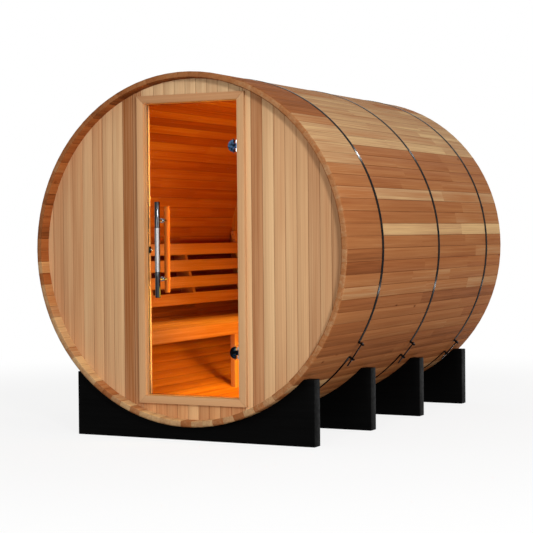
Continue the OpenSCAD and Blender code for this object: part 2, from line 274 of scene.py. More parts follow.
def cedar(start, tint, stops, depth=1.0, seam=0.75, knots=True):
    """Planed cedar: a tone for each board, with bands, streaks and growth rings along its grain and a few knots."""
    lightness, blush, room = start.attribute("tone").parts()
    end, edge, _ = start.attribute("cut").parts()
    grain = start.attribute("grain")
    drift = grain.scaled(0.9, 5, 5).noise(2.0)
    bands = grain.scaled(0.6, 34, 34).noise(2.0)
    lines = grain.scaled(1.1, 105, 105).noise(2.0, 0.6)
    streaks = grain.scaled(2.4, 260, 260).noise(3.0, 0.65)
    rings = start.node(
        "ShaderNodeTexWave", {"wave_type": "RINGS", "rings_direction": "X", "wave_profile": "SIN"},
        {"Vector": grain.scaled(1.4, 62, 62), "Scale": 1.0, "Distortion": 1.6, "Detail": 2.0,
         "Detail Scale": 0.7}, 1) - 0.5
    figure = drift * 0.36 + (bands * 0.40 + lines * 0.42 + streaks * 0.40 + rings * 0.07) * depth
    board = (lightness + figure).ramp(*stops)
    # The room's share of the tint is partly oiled finish and partly painted warm light.
    for share, stain in ((blush, BLUSH), (room, tint), (end, END_GRAIN), (edge * seam, EDGE)):
        board = share.mix(board, stain, "MULTIPLY")
    if knots:
        cells = start.node("ShaderNodeTexVoronoi", {}, {"Vector": grain.scaled(8, 15, 15), "Scale": 1.0})
        pick = (cells.out(1).parts()[0] > 0.965) * (1 - end)
        for reach, share, stain in KNOTS:
            board = ((cells < reach) * pick * share).mix(board, stain, "MULTIPLY")
    rough = 0.6 - streaks * 0.25 + end * 0.2
    relief = streaks * 0.5 + rings * 0.4 + bands * 0.3
    start.surface(Base_Color=board, Roughness=rough, Normal=relief.bump(0.22, 0.0006), Specular_IOR_Level=0.015)


def stave_cedar(start, hues):
    cedar(start, hues.room_oil_and_glow, (
        (0.0, hues.umber), (0.25, hues.russet), (0.5, hues.honey), (0.75, hues.tan), (1.0, hues.cream)))


def wall_cedar(start, hues):
    stops = (0.0, hues.umber), (0.25, hues.heart), (0.6, hues.wall), (1.0, hues.wall_pale)
    cedar(start, hues.room_oil_and_glow, stops, depth=0.8, knots=False)


def trim_cedar(start, hues):
    stops = (0.0, hues.heart), (0.5, hues.wall), (1.0, hues.wall_pale)
    cedar(start, hues.room_oil_and_glow, stops, depth=0.7, seam=0.12, knots=False)


def bench_cedar(start, hues):
    stops = (0.0, hues.umber), (0.35, hues.bench_dark), (1.0, hues.bench_light)
    cedar(start, hues.room_oil_and_glow, stops, depth=0.9, seam=0.1)


def black_stain(start, hues):
    """Black-stained softwood with its grain just showing; its end faces are drawn lighter as a painted sheen, and its
    eased edges a little lighter.
    """
    end, edge, _ = start.attribute("cut").parts()
    grain = start.attribute("grain")
    bands = grain.scaled(1.2, 45, 45).noise(3.0)
    streaks = grain.scaled(4, 240, 240).noise(3.0, 0.7)
    full, thin, worn_and_sheen = ([c * lightening for c in hues.black] for lightening in (1, 2.5, 16))
    shown = 0.30 + bands * 0.5 + streaks * 0.55 + edge * 0.2 + end * 0.36
    rough = 0.52 - bands * 0.3 + streaks * 0.2
    relief = streaks * 0.7 + bands * 0.5
    start.surface(Base_Color=shown.ramp((0.2, full), (0.55, thin), (0.95, worn_and_sheen)), Roughness=rough,
                  Normal=relief.bump(0.35, 0.0012), Specular_IOR_Level=0.02)


def metal(start, dark, light, rough, brush_and_reflection_lines, contrast=0.6):
    """Steel between two shades, with brushed lines along or across its length and faint smudges; on the pull bar the
    coarse, strong lines are painted reflections.
    """
    lightness, _, _ = start.attribute("tone").parts()
    _, edge, _ = start.attribute("cut").parts()
    grain = start.attribute("grain")
    lines = grain.scaled(*brush_and_reflection_lines).noise(2.0, 0.6)
    smudge = grain.scaled(45, 45, 45).noise(2.0)
    tone = (lightness + lines * contrast + smudge * 0.5).ramp((0.25, dark), (0.75, light))
    start.surface(Base_Color=(edge * 0.5).mix(tone, light), Metallic=1.0, Normal=lines.bump(0.05, 0.0002),
                  Roughness=rough + lines * rough * 0.5 + smudge * rough * 0.4)


def polished_steel(start, hues):
    metal(start, hues.dark_steel, hues.polished, 0.10, (30, 300, 300))


def dark_steel(start, hues):
    metal(start, hues.black_steel, hues.dark_steel, 0.12, (20, 300, 300))


# Strong blotches of dark and blue on the clamps: a painted reflection.
def clamp_painted_sheen_steel(start, hues):
    metal(start, hues.black_steel, hues.painted_blue_sheen, 0.10, (30, 70, 70), 1.8)


# The sleeves' near-black colour and strong streaks along the bar are painted reflections of dark and bright
# surroundings.
def sleeve_steel(start, hues):
    metal(start, hues.black_steel, hues.dark_steel, 0.10, (0.4, 130, 130), 2.6)


# The satin middle's streaks along the bar are partly brushed lines and partly painted reflections.
def satin_steel(start, hues):
    metal(start, hues.dark_steel, hues.satin, 0.30, (0.4, 130, 130), 1.6)


def hoop_painted_reflection(start, hues):
    """Steel of the hoops, near black: a painted reflection of dark surroundings in the bands; a little lighter at its
    eased edges.
    """
    _, edge, _ = start.attribute("cut").parts()
    flow = start.attribute("grain").scaled(40, 40, 40).noise(3.0)
    tone = (0.5 + flow * 0.8 + edge * 0.3).ramp((0.2, [c * 0.5 for c in hues.hoop]), (0.9, hues.hoop))
    start.surface(Base_Color=tone, Roughness=0.16 + flow * 0.08, Normal=flow.bump(0.04, 0.0003),
                  Specular_IOR_Level=0.008)


def pane_glass(start, hues):
    """Clear toughened glass: nearly all see-through on its faces, denser, darker and greener at its ground edges:
    partly the glass, partly painted shade in the gap beside the jamb.
    """
    ground, _, _ = start.attribute("tone").parts()
    haze = start.attribute("grain").scaled(5, 5, 5).noise(3.0)
    gloss = start.node("ShaderNodeLayerWeight", {}, {"Blend": 0.12})
    start.surface(Base_Color=ground.mix((0.004, 0.005, 0.005), hues.pane),
                  Roughness=0.03 + haze * 0.02 + ground * 0.25, Alpha=0.01 + gloss * 0.22 + ground * 0.95)


class Piece:
    """A piece in the making: finished parts join it one at a time, each with its grain and tone."""

    def __init__(self, name):
        self.name, self.bm = name, bmesh.new()
        self.grain = self.bm.verts.layers.float_vector.new("grain")
        self.tone = self.bm.faces.layers.float_vector.new("tone")
        self.cut = self.bm.faces.layers.float_vector.new("cut")

    def add(self, part, along=Y, across=X, tone=(0.5, 0.0, 0.0), shift=(0, 0, 0), slot=0):
        """Takes in a part. Its grain runs along one direction; its tone is lightness, blush and tint of the room, that
        tint partly oiled finish and partly painted warm light.
        """
        mesh = bpy.data.meshes.new("part")
        part.to_mesh(mesh)
        part.free()
        old_verts, old_faces = len(self.bm.verts), len(self.bm.faces)
        self.bm.from_mesh(mesh)
        bpy.data.meshes.remove(mesh)
        along, across = along.normalized(), across.normalized()
        through = along.cross(across)
        square = (along, across, through)
        for vert in list(self.bm.verts)[old_verts:]:
            vert[self.grain] = Vector([vert.co.dot(way) for way in square]) + Vector(shift)
        for face in list(self.bm.faces)[old_faces:]:
            face.normal_update()
            facing = [abs(face.normal.dot(way)) for way in square]
            face[self.tone] = tone(face) if callable(tone) else tone
            seam = max(facing) < 0.985 and facing[0] < 0.2
            face[self.cut] = (min(1.0, max(0.0, (facing[0] - 0.15) / 0.6)), 1.0 if seam else 0.0, 0.0)
            face.material_index = slot(face) if callable(slot) else slot
        return self

    def place(self, body, slot, finishes, *nodes, smooth=35):
        """Makes the object, puts it on its body and hides the nodes that it stands for."""
        mesh = bpy.data.meshes.new(self.name)
        self.bm.to_mesh(mesh)
        self.bm.free()
        for build in finishes:
            mesh.materials.append(finish(build))
        mesh.shade_smooth()
        mesh.set_sharp_from_angle(angle=math.radians(smooth))
        made = bpy.data.objects.new(self.name, mesh)
        bpy.context.scene.collection.objects.link(made)
        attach(made, body)
        if nodes:
            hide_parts(*nodes)
        return made


def ease(bm, edges, width, segments=2):
    """Eases edges with a small round."""
    if width and edges:
        bmesh.ops.bevel(bm, geom=edges, offset=width, offset_type="OFFSET", segments=segments,
                        profile=0.5, affect="EDGES", material=-1, clamp_overlap=True)
    return bm


def slab(outline, push, width=0.0, segments=2):
    """A board with the given outline, carried along one way."""
    bm = bmesh.new()
    face = bm.faces.new([bm.verts.new(point) for point in outline])
    return thicken(bm, [face], push, width, segments)


def thicken(bm, faces, push, width=0.0, segments=2):
    grown = bmesh.ops.extrude_face_region(bm, geom=faces)["geom"]
    moved = [part for part in grown if isinstance(part, bmesh.types.BMVert)]
    bmesh.ops.translate(bm, vec=push, verts=moved)
    bmesh.ops.recalc_face_normals(bm, faces=bm.faces[:])
    return ease(bm, bm.edges[:], width, segments)


def block(low, high, width, segments=2):
    """A board between two corners."""
    bm = bmesh.new()
    low, high = Vector(low), Vector(high)
    size = Matrix.Diagonal((*(high - low), 1))
    bmesh.ops.create_cube(bm, size=1, matrix=Matrix.Translation((low + high) / 2) @ size)
    return ease(bm, bm.edges[:], width, segments)


def round_plate(centre, radius, sides, turn, push, cuts):
    """A round plate that faces along the barrel, sawn off beyond some planes and given its thickness."""
    bm = bmesh.new()
    stand = Matrix.Translation(centre) @ Matrix.Rotation(math.pi / 2, 4, "X") @ Matrix.Rotation(turn, 4, "Z")
    bmesh.ops.create_circle(bm, cap_ends=True, segments=sides, radius=radius, matrix=stand)
    for point, normal in cuts:
        saw(bm, point, normal)
    return thicken(bm, bm.faces[:], push)


def turned(profile, place, axis=Z, steps=32):
    """A part turned on the lathe from points of radius and height along its axis."""
    bm = bmesh.new()
    chain = [bm.verts.new((radius, 0, height)) for radius, height in profile]
    edges = [bm.edges.new(pair) for pair in zip(chain, chain[1:])]
    bmesh.ops.spin(bm, geom=chain + edges, cent=(0, 0, 0), axis=(0, 0, 1), angle=math.tau,
                   steps=steps, use_merge=True)
    bmesh.ops.remove_doubles(bm, verts=bm.verts[:], dist=1e-6)
    bmesh.ops.recalc_face_normals(bm, faces=bm.faces[:])
    turn = Z.rotation_difference(Vector(axis)).to_matrix().to_4x4()
    return move(bm, Matrix.Translation(place) @ turn)


def chamfered(radius, low, high, corner, bore=0):
    """The profile of a rod, or of a tube with a bore, with chamfered ends."""
    points = [(bore, low), (radius - corner, low), (radius, low + corner),
              (radius, high - corner), (radius - corner, high), (bore, high)]
    return points + points[:1] if bore else points


def rounded(radius, low, high, corner, knee, between=()):
    """The profile of a rod with rounded ends and with other points between them."""
    return [(0, low), (radius - corner, low), (radius - knee, low + knee), (radius, low + corner), *between,
            (radius, high - corner), (radius - knee, high - knee), (radius - corner, high), (0, high)]


def move(bm, matrix):
    bmesh.ops.transform(bm, matrix=matrix, verts=bm.verts[:])
    return bm


def saw(bm, point, normal):
    """Saws off what lies beyond a plane, and gives the edges of the cut."""
    whole = bm.verts[:] + bm.edges[:] + bm.faces[:]
    sawn = bmesh.ops.bisect_plane(bm, geom=whole, dist=1e-7, plane_co=point, plane_no=normal, clear_outer=True)
    return [part for part in sawn["geom_cut"] if isinstance(part, bmesh.types.BMEdge)]


def sharp(bm, angle):
    """Edges where two faces turn by more than an angle."""
    return [e for e in bm.edges if e.calc_face_angle(0) > angle]


def at_angle(angle):
    """A frame on the barrel's axis: X tangent, Y along the barrel and Z outward at an angle up from the right."""
    tangent = Vector((math.sin(angle), 0, -math.cos(angle)))
    outward = Vector((math.cos(angle), 0, math.sin(angle)))
    return Matrix.Translation(AXIS) @ Matrix((tangent, Y, outward)).transposed().to_4x4()


def corner_radius(sizes):
    """Distance from the axis to the outer corners of the staves, where the hoops lie."""
    return OUTER / math.cos(math.pi / sizes.staves)


def scribe(bm, sizes):
    """Cuts a part to the flat inner faces of the staves that it meets."""
    half = math.pi / sizes.staves
    bore = OUTER - sizes.stave_depth
    corners = [v.co - AXIS for v in bm.verts]
    angles = [math.atan2(c.z, c.x) % math.tau for c in corners]
    first, last = (int(angle / (2 * half)) for angle in (min(angles), max(angles)))
    for index in range(first - 1, last + 2):
        angle = (2 * index + 1) * half
        outward = Vector((math.cos(angle), 0, math.sin(angle)))
        if any(c.dot(outward) > bore for c in corners):
            edges = saw(bm, AXIS + outward * bore, outward)
            if edges:
                bmesh.ops.holes_fill(bm, edges=edges, sides=0)
    bmesh.ops.recalc_face_normals(bm, faces=bm.faces[:])
    return bm


def grain_shift(draw):
    """Where in the log a board was sawn."""
    side = draw.choice((-1, 1))
    return (draw.uniform(0, 90), side * draw.uniform(0.03, 0.16), draw.uniform(-0.14, 0.14))


class SAUNA_OT_staves(bpy.types.Operator):
    """Lays the staves in six banks, each stave of boards butted end to end"""

    bl_idname = "sauna.staves"
    bl_label = "Staves"

    # Lightness and blush of the boards that stand out, and the staves that have them at the front end or behind it
    tones = {"cream": (0.90, 0.30), "pale": (0.76, 0.0), "beige": (0.60, 0.0), "honey": (0.70, 0.10),
             "drab": (0.43, 0.0), "peach": (0.80, 0.55), "rosy": (0.56, 0.60), "russet": (0.38, 0.28),
             "umber": (0.24, 0.0), "dusky": (0.18, 0.60)}
    ends = {"cream": (52, 55, 61, 64, 66, 69), "pale": (8, 9, 10),
            "beige": (7, 11, 50, 54, 60, 86), "drab": (0, 1, 5, 6, 20, 21, 22, 23, 24, 80, 84, 87),
            "rosy": (4, 58, 62, 67, 70, 74), "dusky": (88,), "russet": (2, 3, 27, 30, 33, 34, 38, 41, 45, 47),
            # The umber front boards at staves 12 to 17, near the top, are partly their wood and partly painted shade.
            "umber": (12, 13, 14, 15, 16, 17, 28, 31, 36, 40, 43, 78, 79, 81, 82, 83, 85, 89),
            "peach": (46, 48, 49, 51, 53, 56, 57, 63, 65, 68, 71, 73, 75, 77)}
    runs = {"cream": (1,), "pale": (9, 10, 11, 12, 13, 14, 15), "honey": (4,),
            "beige": (16, 17, 18, 19, 20, 21, 22, 86), "drab": (0, 2, 3, 5, 6, 7, 8, 82, 83, 84, 87, 89),
            "russet": (88,), "umber": (78, 79, 80, 81, 85)}
    # Inside faces behind the backrest, near black as painted shade; then staves of the rim: sawn ends on the right,
    # greyer and partly darkened as painted shade, and two runs of inner faces, paler below as painted light and darker
    # at the upper right as painted shade under the rim
    backrest_painted_shade = range(45, 53)
    right_ends = (*range(20), *range(76, 90))
    upper_right, below = range(30), range(50, 90)

    def tone(self, stave, first, draw):
        """Lightness and blush of a board: the notable ones by their stave, the rest by chance, boards at the front end
        darker on average than those behind them, as painted shade at the front and painted light further back.
        """
        light, blush = draw.gauss(0.40 if first else 0.52, 0.09), draw.uniform(0.0, 0.3)
        stray = draw.uniform(-0.06, 0.06)
        for name, staves in (self.ends if first else self.runs).items():
            if stave in staves:
                light, blush = self.tones[name]
                return light + stray, blush
        return min(0.72, max(0.25, light)), blush

    def board(self, start, end, sizes):
        """One board of a stave, sawn to the barrel's radius and grooved where an end wall enters it."""
        inner = OUTER - sizes.stave_depth
        deep = inner + sizes.groove
        outline = [(start, inner)]
        for low, high in ((WALL_FACE, ROOM_FRONT), (ROOM_BACK, WALL_BACK)):
            low, high = low - sizes.groove_play, high + sizes.groove_play
            if start < low and high < end:
                outline += [(low, inner), (low, deep), (high, deep), (high, inner)]
        outline += [(end, inner), (end, OUTER), (start, OUTER)]
        bm = slab([(0, y, radius) for y, radius in outline], X)
        slope = math.tan(math.pi / sizes.staves)
        for vert in bm.verts:
            vert.co.x = (2 * vert.co.x - 1) * (vert.co.z * slope - sizes.joint)
        for tip, barrel_end in ((start, FRONT), (end, BACK)):
            if tip == barrel_end:
                for radius, width in ((OUTER, sizes.rim_round), (inner, sizes.rim_ease)):
                    edge = [e for e in bm.edges if all(
                        abs(v.co.y - tip) < 1e-6 and abs(v.co.z - radius) < 1e-6 for v in e.verts)]
                    ease(bm, edge, width, 5)
        bmesh.ops.recalc_face_normals(bm, faces=bm.faces[:])
        sides = {f for f in bm.faces if abs(f.normal.x) > 0.99}
        long_edges = [e for e in bm.edges if len(sides.intersection(e.link_faces)) == 1 and all(
            abs(f.normal.y) < 0.99 and abs(f.calc_center_median().z - deep) > 1e-5 for f in e.link_faces)]
        return ease(bm, long_edges, sizes.stave_ease)

    def execute(self, context):
        sizes = context.scene.sauna_sizes
        half = math.pi / sizes.staves
        bank_size = sizes.staves // len(BANKS)
        draw = random.Random(11)
        first_joint = sum(c.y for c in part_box("hoop_front")) / 2
        # Faces this close to the room count as inside it: past its end walls, and out from the staves' inner faces
        past, out = 0.002, 0.004
        room_radius = OUTER - sizes.stave_depth + out
        for bank, node in enumerate(BANKS):
            piece = Piece(node.replace("staves", "boards"))
            for stave in range(bank * bank_size, (bank + 1) * bank_size):
                here = at_angle((2 * stave + 1) * half)
                joints = [FRONT, first_joint, draw.uniform(-0.35, 0.05), draw.uniform(0.25, 0.75), BACK]
                if draw.random() < 0.35:
                    joints.pop(2)
                joints[1] += draw.uniform(-0.006, 0.006)
                # Inside faces take the full room tint, partly oiled finish and partly painted warm light; behind the
                # backrest they are near black, a painted shade.
                inside = (0.02 if stave in self.backrest_painted_shade else draw.uniform(0.24, 0.58), 0.1, 1.0)
                sawn = draw.uniform(0.46, 0.60)
                for start, end in zip(joints, joints[1:]):
                    light, blush = self.tone(stave, start == FRONT, draw)

                    def tone(face):
                        spot = face.calc_center_median() - AXIS
                        if math.hypot(spot.x, spot.z) > room_radius:
                            # The sawn ends on the right rim are greyer and darker than their boards: partly end grain,
                            # partly painted shade.
                            if face.normal.y < -0.6 and stave in self.right_ends:
                                return sawn, 0.0, 0.0
                            return light, blush, 0.0
                        if ROOM_FRONT - past < spot.y < ROOM_BACK + past:
                            return inside
                        # Inner faces at the rim: paler below as painted light, much darker at the upper right as
                        # painted shade under the rim, a little darker elsewhere as painted shade; each takes part of
                        # the room tint as painted warm light.
                        if stave in self.below:
                            return light + 0.04, blush * 0.5, 0.08
                        return light - (0.30 if stave in self.upper_right else 0.08), blush, 0.35

                    board = move(self.board(start, end, sizes), here)
                    piece.add(board, Y, here.to_3x3() @ X, tone, grain_shift(draw))
            piece.place("cabin", "staves", [stave_cedar], node)
        return {"FINISHED"}


class SAUNA_OT_end_walls(bpy.types.Operator):
    """Fills the two round ends with upright boards, leaving the doorway open"""

    bl_idname = "sauna.end_walls"
    bl_label = "End walls"

    # Lightness and blush of the boards that stand out in the front wall, by their place from the seam
    notable = {-7: (0.34, 0.3), 5: (0.50, 0.6), -8: (0.76, 0.3), 6: (0.90, 0.4), -6: (0.46, 0.1), 4: (0.98, 0.6),
               7: (0.80, 0.6), 8: (0.80, 0.45), 9: (0.78, 0.6), 12: (0.48, 0.0), 13: (0.48, 0.0),
               -10: (0.66, 0.6), -12: (0.68, 0.7)}
    over_door = (0.94, 0.0)
    under_door = {0: (0.58, 0.4), -1: (0.86, 0.5)}

    def board(self, left, right, low, high, sizes):
        """One upright board of the field between two corners, cut out of the round panel."""
        half = math.pi / sizes.staves
        cuts = (X * right, X), (X * left, -X), (Z * high.z, Z), (Z * low.z, -Z)
        bm = round_plate(AXIS + Y * low.y, PANEL / math.cos(half), sizes.staves, half, Y * (high.y - low.y), cuts)
        upright = [e for e in bm.edges if (e.verts[0].co - e.verts[1].co).xy.length < 1e-6]
        return ease(bm, upright, sizes.board_ease)

    def execute(self, context):
        sizes = context.scene.sauna_sizes
        draw = random.Random(23)
        pitch, seam, narrowest = sizes.wall_board, sizes.wall_seam, 0.004
        for node in ("wall_left", "wall_right", "wall_over_door", "wall_under_door", "wall_back"):
            way = 1 if node == "wall_back" else -1
            low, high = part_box(node)
            piece = Piece("boards_" + node)
            first, last = (math.floor((edge.x - seam) / pitch) for edge in (low, high))
            for place in range(first, last + 1):
                left, right = max(low.x, seam + place * pitch), min(high.x, seam + (place + 1) * pitch)
                if right - left < narrowest:
                    continue
                planed, painted_warm_light = (draw.uniform(0.58, 0.76), draw.uniform(0.15, 0.55)), 0.0
                if node == "wall_over_door":
                    planed = self.over_door[0] + draw.uniform(-0.06, 0.06), self.over_door[1]
                elif node == "wall_under_door":
                    # Under the door the outer faces take a little room tint: painted warm light from the room.
                    planed, painted_warm_light = self.under_door.get(place, (planed[0], 1.0)), 0.15
                elif way < 0:
                    planed = self.notable.get(place, planed)

                # Faces into the room take the full room tint: oiled finish and painted warm light.
                def tone(face):
                    return (*planed, 1.0 if face.normal.y * way < -0.5 else painted_warm_light)

                piece.add(self.board(left, right, low, high, sizes), Z, X, tone, grain_shift(draw))
            piece.place("cabin", "end_wall", [wall_cedar], node)
        return {"FINISHED"}


class SAUNA_OT_door_frame(bpy.types.Operator):
    """Lines the doorway with jambs, head and sill, and frames it with the mitred casing"""

    bl_idname = "sauna.door_frame"
    bl_label = "Door frame"

    def execute(self, context):
        sizes = context.scene.sauna_sizes
        draw = random.Random(31)
        for node in ("jamb_left", "jamb_right", "door_head", "door_sill"):
            along, across = (Z, X) if "jamb" in node else (X, Z)
            piece = Piece("lining_" + node)
            piece.add(block(*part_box(node), sizes.board_ease), along, across, (draw.uniform(0.66, 0.78), 0.3, 0.0),
                      grain_shift(draw))
            piece.place("cabin", "trim", [trim_cedar], node)
        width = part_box("casing_right")[1].x - OPEN_RIGHT
        front, back = (c.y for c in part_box("casing_left"))
        opening = [Vector((OPEN_LEFT, front, SILL)), Vector((OPEN_RIGHT, front, SILL)),
                   Vector((OPEN_RIGHT, front, HEAD)), Vector((OPEN_LEFT, front, HEAD))]
        ways = ((-1, -1), (1, -1), (1, 1), (-1, 1))
        corners = [p + Vector((sx * width, 0, sz * width)) for p, (sx, sz) in zip(opening, ways)]
        for side, name in enumerate(("bottom", "right", "top", "left")):
            after = (side + 1) % 4
            outline = [opening[side], corners[side], corners[after], opening[after]]
            along = (opening[after] - opening[side]).normalized()
            piece = Piece("mitred_casing_" + name)
            tone = {"top": 0.50, "bottom": 0.62, "left": 0.66, "right": 0.76}[name]
            piece.add(slab(outline, Y * (back - front), sizes.board_ease), along, along.cross(Y),
                      (tone, 0.6, 0.0), grain_shift(draw))
            piece.place("cabin", "trim", [trim_cedar], "casing_" + name)
        return {"FINISHED"}


class SAUNA_OT_hoops(bpy.types.Operator):
    """Bends the three steel hoops round the staves and draws their lugs together with threaded bolts"""

    bl_idname = "sauna.hoops"
    bl_label = "Hoops"

    # Radius, bore, height and chamfer of a nut; pitch and depth of the thread
    nut, nut_bore, nut_height, nut_corner = 0.0075, 0.0036, 0.007, (0.0012, 0.0008)
    pitch, thread_depth = 0.0015, 0.0006

    def band(self, sizes, width):
        """The band in its bolt's frame, Z outward at the bolt: a flat strip bent from one lug round to the other."""
        inside = corner_radius(sizes)
        outside = inside + sizes.hoop_thickness
        gap = math.asin(sizes.lug_gap / 2 / inside)
        round_over = sizes.hoop_thickness * 0.35
        half = width / 2
        profile = [(-half, inside), (half, inside), (half, outside - round_over), (half - round_over, outside),
                   (round_over - half, outside), (-half, outside - round_over)]
        bm = bmesh.new()
        start = Matrix.Rotation(gap, 3, "Y")
        bm.faces.new([bm.verts.new(start @ Vector((0, y, radius))) for y, radius in profile])
        bmesh.ops.spin(bm, geom=bm.verts[:] + bm.edges[:] + bm.faces[:], cent=(0, 0, 0), axis=Y,
                       angle=math.tau - 2 * gap, steps=240, use_merge=False)
        bmesh.ops.recalc_face_normals(bm, faces=bm.faces[:])
        return bm

    def lug(self, sizes, width, side):
        """A turned-up end of the band."""
        foot = corner_radius(sizes)
        near, far = sorted((side * sizes.lug_gap / 2, side * (sizes.lug_gap / 2 + sizes.lug_thickness)))
        top = foot + sizes.hoop_thickness + sizes.lug_height
        bm = block((near, -width / 2, foot), (far, width / 2, top), 0)
        corners = [e for e in bm.edges if all(abs(v.co.z - top) < 1e-6 for v in e.verts)
                   and abs(e.verts[0].co.y - e.verts[1].co.y) < 1e-6]
        ease(bm, corners, width * 0.3, 5)
        return ease(bm, sharp(bm, 1.2), 0.0006, 1)

    def thread(self, radius, low, high):
        """The profile of a threaded rod."""
        core = radius - self.thread_depth
        points = [(0, low), (core, low)]
        for turn in range(int((high - low - 0.002) / self.pitch)):
            base = low + 0.001 + turn * self.pitch
            points += [(radius, base + self.pitch * 0.35), (core, base + self.pitch * 0.9)]
        return points + [(core, high), (0, high)]

    def execute(self, context):
        sizes = context.scene.sauna_sizes
        rise = corner_radius(sizes) + sizes.hoop_thickness + sizes.bolt_rise
        reach = sizes.lug_gap / 2 + sizes.lug_thickness
        rod = self.thread(sizes.bolt / 2, -(reach + self.nut_height), reach + sizes.bolt_tail)
        flat, deep = self.nut - self.nut_corner[0], self.nut_corner[1]
        nut = [(self.nut_bore, 0), (flat, 0), (self.nut, deep), (self.nut, self.nut_height - deep),
               (flat, self.nut_height), (self.nut_bore, self.nut_height)]
        for name, drop in zip(HOOPS, sizes.bolt_angles):
            low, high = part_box("hoop_" + name)
            middle, width = (low.y + high.y) / 2, high.y - low.y
            here = Matrix.Translation(Y * middle) @ at_angle(-drop)
            down, across = here.to_3x3() @ X, here.to_3x3() @ Z
            piece = Piece("band_" + name)
            for part in (self.band(sizes, width), self.lug(sizes, width, -1), self.lug(sizes, width, 1)):
                piece.add(move(part, here), Y, across)
            piece.place("cabin", "hoop", [hoop_painted_reflection], "hoop_" + name)
            piece = Piece("draw_bolt_" + name)
            piece.add(move(turned(rod, (0, 0, rise), X, 14), here), down, across, (0.3, 0.0, 0.0))
            for way in (1, -1):
                part = turned(nut, (reach * way, 0, rise), X * way, 6)
                piece.add(move(part, here), down, across, (0.7, 0.0, 0.0))
            piece.place("cabin", "hoop", [dark_steel], "hoop_bolt_" + name, smooth=50)
        return {"FINISHED"}


class SAUNA_OT_cradles(bpy.types.Operator):
    """Cuts the four cradle boards with saddles that fit the staves"""

    bl_idname = "sauna.cradles"
    bl_label = "Cradles"

    def execute(self, context):
        sizes = context.scene.sauna_sizes
        draw = random.Random(43)
        half, radius = math.pi / sizes.staves, corner_radius(sizes)
        for name in CRADLES:
            low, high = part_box("cradle_" + name)
            # The flat of the stave that the shoulder meets, and the corner below it where the saddle starts
            drop = AXIS.z - high.z
            meets = int(math.asin(drop / OUTER) / (2 * half))
            flat, start = (2 * meets + 1) * half, 2 * (meets + 1) * half
            shoulder = (OUTER - drop * math.sin(flat)) / math.cos(flat)
            bm = bmesh.new()
            first = bm.verts.new(AXIS + Vector((radius * math.cos(start), low.y, -radius * math.sin(start))))
            sweep = math.pi - 2 * start
            bmesh.ops.spin(bm, geom=[first], cent=AXIS, axis=Y, angle=sweep, steps=round(sweep / (2 * half)),
                           use_merge=False)
            saddle = sorted(((v.co.x, v.co.z) for v in bm.verts), reverse=True)
            bm.free()
            outline = [(high.x, 0), (high.x, high.z), (shoulder, high.z), *saddle,
                       (-shoulder, high.z), (low.x, high.z), (low.x, 0)]
            bm = slab([(x, low.y, z) for x, z in outline], Y * (high.y - low.y))
            piece = Piece("cradle_board_" + name)
            piece.add(ease(bm, sharp(bm, math.radians(30)), sizes.saddle_ease), X, Z, shift=grain_shift(draw))
            piece.place("cabin", "cradle", [black_stain], "cradle_" + name)
        return {"FINISHED"}


class SAUNA_OT_bench(bpy.types.Operator):
    """Builds the bench: seat boards, front rail, leg and bearers"""

    bl_idname = "sauna.bench"
    bl_label = "Bench"

    def execute(self, context):
        sizes = context.scene.sauna_sizes
        draw = random.Random(59)
        width, spare = 0.0025, 0.05

        def build(name, node, along, across, *boards):
            """A piece of one or more boards, each with its own tone and grain."""
            piece = Piece(name)
            for board in boards:
                tone = draw.uniform(0.5, 0.85), draw.uniform(0.0, 0.3), 0.0
                piece.add(board, along, across, tone, grain_shift(draw))
            piece.place("cabin", "bench", [bench_cedar], node)

        low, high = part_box("bench_seat")
        count, gap = sizes.seat_boards, sizes.seat_gap
        wide = (high.x - low.x - gap * (count - 1)) / count
        lefts = [low.x + place * (wide + gap) for place in range(count)]
        build("seat_boards", "bench_seat", Y, X, *(
            block((left, low.y, low.z), (left + wide, high.y, high.z), width) for left in lefts))
        build("seat_rail", "bench_apron", Y, Z, block(*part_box("bench_apron"), width))
        leg_low, leg_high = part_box("bench_leg")
        build("seat_leg", "bench_leg", Z, Y, scribe(block(leg_low - Z * spare, leg_high, width), sizes))
        low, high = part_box("bench_bearers")
        thick = leg_high.x - leg_low.x
        starts = (low.y, leg_low.y - thick, leg_high.y, high.y - thick)
        build("seat_bearers", "bench_bearers", X, Z, *(
            scribe(block((low.x - spare, start, low.z), (high.x, start + thick, high.z), width), sizes)
            for start in starts))
        return {"FINISHED"}


